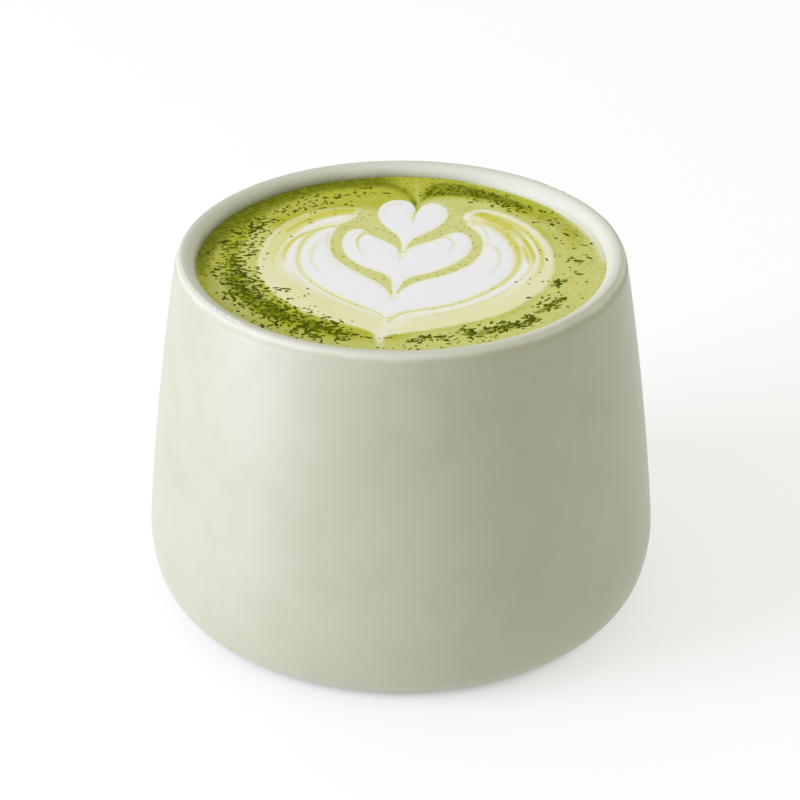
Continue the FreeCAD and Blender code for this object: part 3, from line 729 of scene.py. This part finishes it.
def glazeFinish():
    finish = Finish("sageGlaze")
    x, _, height, radius = finish.axes()
    height += (finish.noise(160, 2) - 0.5) * glaze["waver"]

    def above(start, edge):
        low, high = glazeEdges[edge]
        return finish.fade(height, start + low, start + high)

    cloudy = finish.noise(48, 3)
    colour = finish.mix(finish.fade(cloudy, 0.3, 0.7) * glazeShare["pale"], glaze["body"], glaze["pale"])
    dark = finish.fade(finish.noise(130, 3), 0.45, 0.75)
    colour = finish.mix(dark * glazeShare["dark"], colour, glaze["dark"])
    pits = finish.fade(finish.noise(2300, 2), 0.7, 0.78)
    colour = finish.mix(pits * glazeShare["speckle"], colour, glaze["speckle"])
    # the lip: thin glaze that breaks warm at its outer edge, and is drier on top; it is paler on top, partly
    # from the thin glaze and partly as painted light from above
    outside = finish.fade(radius, *glazeEdges["crest"])
    thin = above(cupHigh.z, "breakLine") * outside
    colour = finish.mix(thin * glazeShare["breakLine"], colour, glaze["breakLine"])
    lip = above(cupHigh.z, "innerLip") * (1 - outside) + above(cupHigh.z, "outerLip") * outside
    dry = above(cupHigh.z, "dry")
    # painted light: the outer rim is paler on the right side than on the left
    outerRimGlazeAndLight = finish.mix(finish.fade(x, *glazeEdges["rimLightSide"]), glaze["rimGlazeAndLightLeft"], glaze["rimGlazeAndLightRight"])
    colour = finish.mix(lip, colour, finish.mix(outside, glaze["innerRimGlazeAndLight"], outerRimGlazeAndLight))
    # partly a film that the drink left on the inner wall, partly painted shade just above the drink, fading
    # to the right
    # painted shade: the film and its darkening are strongest on the left, where the inner wall lies in shade
    across = finish.fade(x, *glazeEdges["shadeSide"])
    filmAndShade = (1 - outside) * (1 - above(cupHigh.z, "filmAndShade")) * (1 - across * 0.7)
    colour = finish.mix(filmAndShade * glazeShare["filmAndShade"], colour, glaze["filmAndShade"])
    # painted shade darkens the glaze just above the foot ring, which is bare clay
    footShade = 1 - above(cupLow.z, "footShade")
    colour = finish.mix(footShade * glazeShare["footShade"], colour, glaze["footShade"])
    clay = 1 - above(cupLow.z, "clay")
    colour = finish.mix(clay, colour, glaze["clay"])
    roughness = clay * 0.4 + dry * glaze["dryRoughness"] + glaze["roughness"] + (cloudy - 0.5) * 0.08
    finish.set(Base_Color=colour, Roughness=roughness,
               Normal=finish.bump(finish.noise(900, 3) + finish.noise(170, 2) * 1.5, 0.15, 0.00010),
               IOR=1.62, Coat_Weight=glaze["coat"] - dry * glaze["coatLoss"], Coat_Roughness=0.45)
    return finish.material


tea = {"pale": tint(204, 205, 122), "mid": tint(180, 183, 56), "deep": tint(118, 125, 0),
       "powder": tint(142, 150, 10), "wet": tint(78, 88, 0), "dust": tint(80, 90, 4),
       "edge": tint(96, 100, 24), "band": tint(210, 209, 138), "cloud": tint(138, 146, 0),
       "speck": tint(158, 163, 34), "cream": tint(235, 234, 215), "creamGreen": tint(230, 228, 184),
       "creamStreak": tint(222, 219, 142), "patch": tint(196, 195, 72), "ringGreen": tint(205, 203, 104),
       "line": tint(208, 205, 84), "rust": tint(196, 178, 24),
       "milk": tint(236, 236, 237), "milkEdge": tint(233, 233, 216), "white": tint(236, 236, 230)}
# where each layer starts and is full, as a depth in its outline or a strength of its threads
layerEdges = {"paleTea": (0.1, 0.9), "deepTea": (0.15, 0.95), "cloud": (-0.008, 0.02), "powder": (0.4, 1.15),
              "cream": (-0.016, 0.014), "outerMilk": (-0.07, 0.04), "patch": (-0.006, 0.007),
              "milkLine": (0.05, 0.8), "band": (-0.004, 0.008), "milk": (-0.005, 0.005),
              "greenLine": (0.05, 0.95), "ringGreen": (0.05, 1.0)}
# how much of each layer shows
layerShare = {"cloud": 0.9, "powder": 0.85, "speck": 0.35, "dust": 0.85, "streaks": 0.3, "patch": 0.9,
              "bandDots": 0.75, "spokes": 0.2}
# dots: how fine, where full, where gone; and the zone at the wall with its painted shade, in drink radii
dots = {"dust": (640, 0.13, 0.21), "band": (880, 0.2, 0.31), "rust": (520, 0.16, 0.24)}
wallZone = (0.86, 0.99)
# how fine each grain of the drink is, and its detail
drinkGrain = {"fine": (2600, 2), "mottle": (850, 2, 0.6, 1.2), "medium": (620, 3), "broad": (110, 3),
              "spokes": (45, 2)}


def drinkFinish():
    finish = Finish("matchaLatte")
    x, y, _, radius = finish.axes()
    fine, medium, broad = (finish.noise(*drinkGrain[name]) for name in ("fine", "medium", "broad"))
    # tea outside the pour
    pale = finish.field("paleTea") + (broad - 0.5) * 0.5
    colour = finish.mix(finish.fade(pale, *layerEdges["paleTea"]), tea["mid"], tea["pale"])
    mottle = finish.fade(finish.noise(*drinkGrain["mottle"]), 0.38, 0.6)
    deep = finish.field("deepTea") + (broad - 0.5) * 0.4 + (mottle - 0.5) * 0.16
    colour = finish.mix(finish.fade(deep, *layerEdges["deepTea"]), colour, tea["deep"])
    cloudy = finish.fade(finish.field("cloud") + (medium - 0.5) * 0.02, *layerEdges["cloud"])
    cloudTone = finish.mix(mottle * 0.7 + 0.3, tea["wet"], tea["cloud"])
    colour = finish.mix(cloudy * layerShare["cloud"], colour, cloudTone)
    powder = finish.field("powder") + (medium - 0.5) * 0.9 + (broad - 0.5) * 0.5
    powderTone = finish.mix(mottle, tea["wet"], tea["powder"])
    powdery = finish.fade(powder, *layerEdges["powder"])
    colour = finish.mix(powdery * layerShare["powder"], colour, powderTone)
    colour = finish.mix(finish.fade(fine, 0.6, 0.7) * layerShare["speck"], colour, tea["speck"])
    dusty = finish.ramp(deep + powder * 0.5 + cloudy, -0.2, 0.9)
    colour = finish.mix(finish.dots(*dots["dust"]) * dusty * layerShare["dust"], colour, tea["dust"])
    # fine spokes where the liquid climbs the wall, and painted shade darkening the tea at the wall, most
    # where the tea is deep
    way = finish.node("ShaderNodeCombineXYZ", inputs={0: x / radius, 1: y / radius, 2: radius * 30})
    spokes = finish.noise(*drinkGrain["spokes"], at=way)
    nearWall = finish.fade(radius, drinkRadius * wallZone[0], drinkRadius * wallZone[1])
    colour = finish.mix(nearWall * finish.fade(spokes, 0.45, 0.65) * (deep * 0.42 + 0.2), colour, tea["edge"])
    colour = finish.mix(nearWall * finish.fade(spokes, 0.5, 0.3) * layerShare["spokes"], colour, tea["pale"])
    # the cream ring with its streaks, which follow the pour
    flow = finish.node("ShaderNodeCombineXYZ", inputs={0: finish.field("across") * 7 + (broad - 0.5) * 0.9,
                                                       1: finish.field("along") * 3.2, 2: 0.3})
    streaks = finish.fade(finish.noise(2.1, 4, 0.55, at=flow), 0.42, 0.62)
    creamDepth = finish.field("cream") + (medium - 0.5) * 0.025 + (broad - 0.5) * 0.03
    cream = finish.fade(creamDepth, *layerEdges["cream"])
    outer = finish.fade(finish.field("outerMilk") + (medium - 0.5) * 0.01, *layerEdges["outerMilk"])
    creamTone = finish.mix(outer, tea["creamGreen"], tea["cream"])
    creamTone = finish.mix(streaks * layerShare["streaks"], creamTone, tea["creamStreak"])
    ringGreen = finish.ramp(finish.field("ringGreen"), *layerEdges["ringGreen"])
    creamTone = finish.mix(ringGreen, creamTone, tea["ringGreen"])
    colour = finish.mix(cream, colour, creamTone)
    patch = finish.fade(finish.field("patch") + (fine - 0.5) * 0.006, *layerEdges["patch"])
    patchTone = finish.mix(finish.fade(streaks + (medium - 0.5) * 1.2, 0.2, 0.9), tea["patch"], tea["line"])
    colour = finish.mix(patch * layerShare["patch"], colour, patchTone)
    white = finish.ramp(finish.field("milkLine") * (fine * 0.4 + 0.8), *layerEdges["milkLine"])
    colour = finish.mix(white, colour, tea["white"])
    # green between the leaves, then the milk
    band = finish.fade(finish.field("band") + (medium - 0.5) * 0.006, *layerEdges["band"])
    band = band * finish.fade(pale, 0.5, 0.95)
    bandTone = finish.mix(finish.fade(fine, 0.5, 0.7) * 0.35, tea["band"], tea["pale"])
    bandTone = finish.mix(finish.dots(*dots["band"]) * layerShare["bandDots"], bandTone, tea["speck"])
    colour = finish.mix(band, colour, bandTone)
    milkDepth = finish.field("milk") + (fine - 0.5) * 0.004
    milk = finish.fade(milkDepth, *layerEdges["milk"])
    milkTone = finish.mix(finish.fade(milkDepth, 0.0, 0.035), tea["milkEdge"], tea["milk"])
    colour = finish.mix(milk, colour, milkTone)
    line = finish.field("greenLine") * (fine * 0.6 + 0.7)
    lineTone = finish.mix(finish.fade(medium, 0.6, 0.75) * 0.5, tea["line"], tea["rust"])
    colour = finish.mix(finish.ramp(line, *layerEdges["greenLine"]), colour, lineTone)
    colour = finish.mix(finish.dots(*dots["rust"]) * finish.ramp(line, 0.2, 0.6), colour, tea["rust"])
    finish.set(Base_Color=colour, Roughness=milk * 0.1 + 0.42, IOR=1.35, Specular_IOR_Level=0.06,
               Normal=finish.bump(fine + medium * 0.6, 0.12, 0.00005))
    return finish.material


def plainFinish(name, light, dark, scale, roughness):
    finish = Finish(name)
    tone = finish.fade(finish.noise(scale, 2), 0.35, 0.65)
    finish.set(Base_Color=finish.mix(tone, light, dark), Specular_IOR_Level=0.02,
               Roughness=finish.noise(scale * 3, 2) * 0.2 + roughness,
               Normal=finish.bump(finish.noise(scale * 4, 2), 0.2, 0.00004))
    return finish.material


cup.data.materials.clear()
cup.data.materials.append(glazeFinish())
drink = makeDrink()
drink.data.materials.append(drinkFinish())
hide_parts("latte")
grainPiece = makeGrains()
grainPiece.data.materials.append(plainFinish("wetMatcha", tint(98, 108, 0), tint(66, 78, 0), 700, 0.5))
speckPiece = makeSpecks()
speckPiece.data.materials.append(plainFinish("matchaSpeck", tint(148, 150, 14), tint(82, 92, 0), 700, 0.6))
for piece in (drink, grainPiece, speckPiece):
    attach(piece, "root")
print("pieces ready")


# studio

studio = {"world": 0.734, "worldTint": (1.0, 1.0, 0.90), "floor": 0.45, "floorGlow": 0.545,
          "floorRadius": 6, "shadowFootprint": (0.036, 0.0425), "aim": (0, 0, 0.04),
          "boxes": {"key": {"power": 24.0, "tint": (0.763, 0.763, 1.0), "size": 0.7, "at": (-1.1, -0.4, 0.3)},
                    "edge": {"power": 0.9, "tint": (0.95, 0.95, 1.0), "size": 0.6, "at": (0.75, 0.8, 0.25)}}}


def makeStudio():
    world = bpy.data.worlds.new("studio")
    world.use_nodes = True
    background = world.node_tree.nodes["Background"].inputs
    background["Color"].default_value = (*studio["worldTint"], 1)
    background["Strength"].default_value = studio["world"]
    bpy.context.scene.world = world
    bpy.ops.mesh.primitive_circle_add(vertices=96, radius=studio["floorRadius"], fill_type="NGON")
    floor = bpy.context.object
    floor.name = "floor"
    finish = Finish("glowingSweepWithPaintedShadow")  # a pale sweep that glows evenly as if lit from below, with a painted contact shadow where the glow fades out under the foot
    away = finish.node("ShaderNodeVectorMath", {"operation": "LENGTH"}, {0: finish.place()}, "Value")
    glowWithPaintedShadow = finish.mix(finish.fade(away, *studio["shadowFootprint"]), (0, 0, 0, 1), (1, 1, 1, 1))
    finish.set(Base_Color=(*[studio["floor"]] * 3, 1), Roughness=0.9, Specular_IOR_Level=0.0,
               Emission_Color=glowWithPaintedShadow, Emission_Strength=studio["floorGlow"])
    floor.data.materials.append(finish.material)
    for name, box in studio["boxes"].items():
        lamp = bpy.data.lights.new(name, "AREA")
        lamp.shape = "SQUARE"
        lamp.size = box["size"]
        lamp.energy = box["power"]
        lamp.color = box["tint"]
        softbox = bpy.data.objects.new(name, lamp)
        bpy.context.collection.objects.link(softbox)
        softbox.location = box["at"]
        softbox.visible_camera = False
        aimAt(softbox, studio["aim"])
    bpy.context.scene.view_settings.view_transform = "Standard"


def aimAt(thing, target):
    to = [b - a for a, b in zip(thing.location, target)]
    flat = math.hypot(to[0], to[1])
    thing.rotation_euler = (math.pi / 2 + math.atan2(to[2], flat), 0, math.atan2(to[1], to[0]) - math.pi / 2)


def makeCamera():
    shot = {"elevation": 0.499, "distance": 0.5608, "target": (-0.0002, 0.0, 0.0390), "lens": 135}
    camera = bpy.data.objects.new("camera", bpy.data.cameras.new("camera"))
    bpy.context.collection.objects.link(camera)
    camera.data.lens = shot["lens"]
    camera.data.sensor_width = 36
    camera.data.clip_start = 0.01
    x, y, z = shot["target"]
    camera.location = (x, y - shot["distance"] * math.cos(shot["elevation"]),
                       z + shot["distance"] * math.sin(shot["elevation"]))
    camera.rotation_euler = (math.pi / 2 - shot["elevation"], 0, 0)
    bpy.context.scene.camera = camera


makeStudio()
makeCamera()
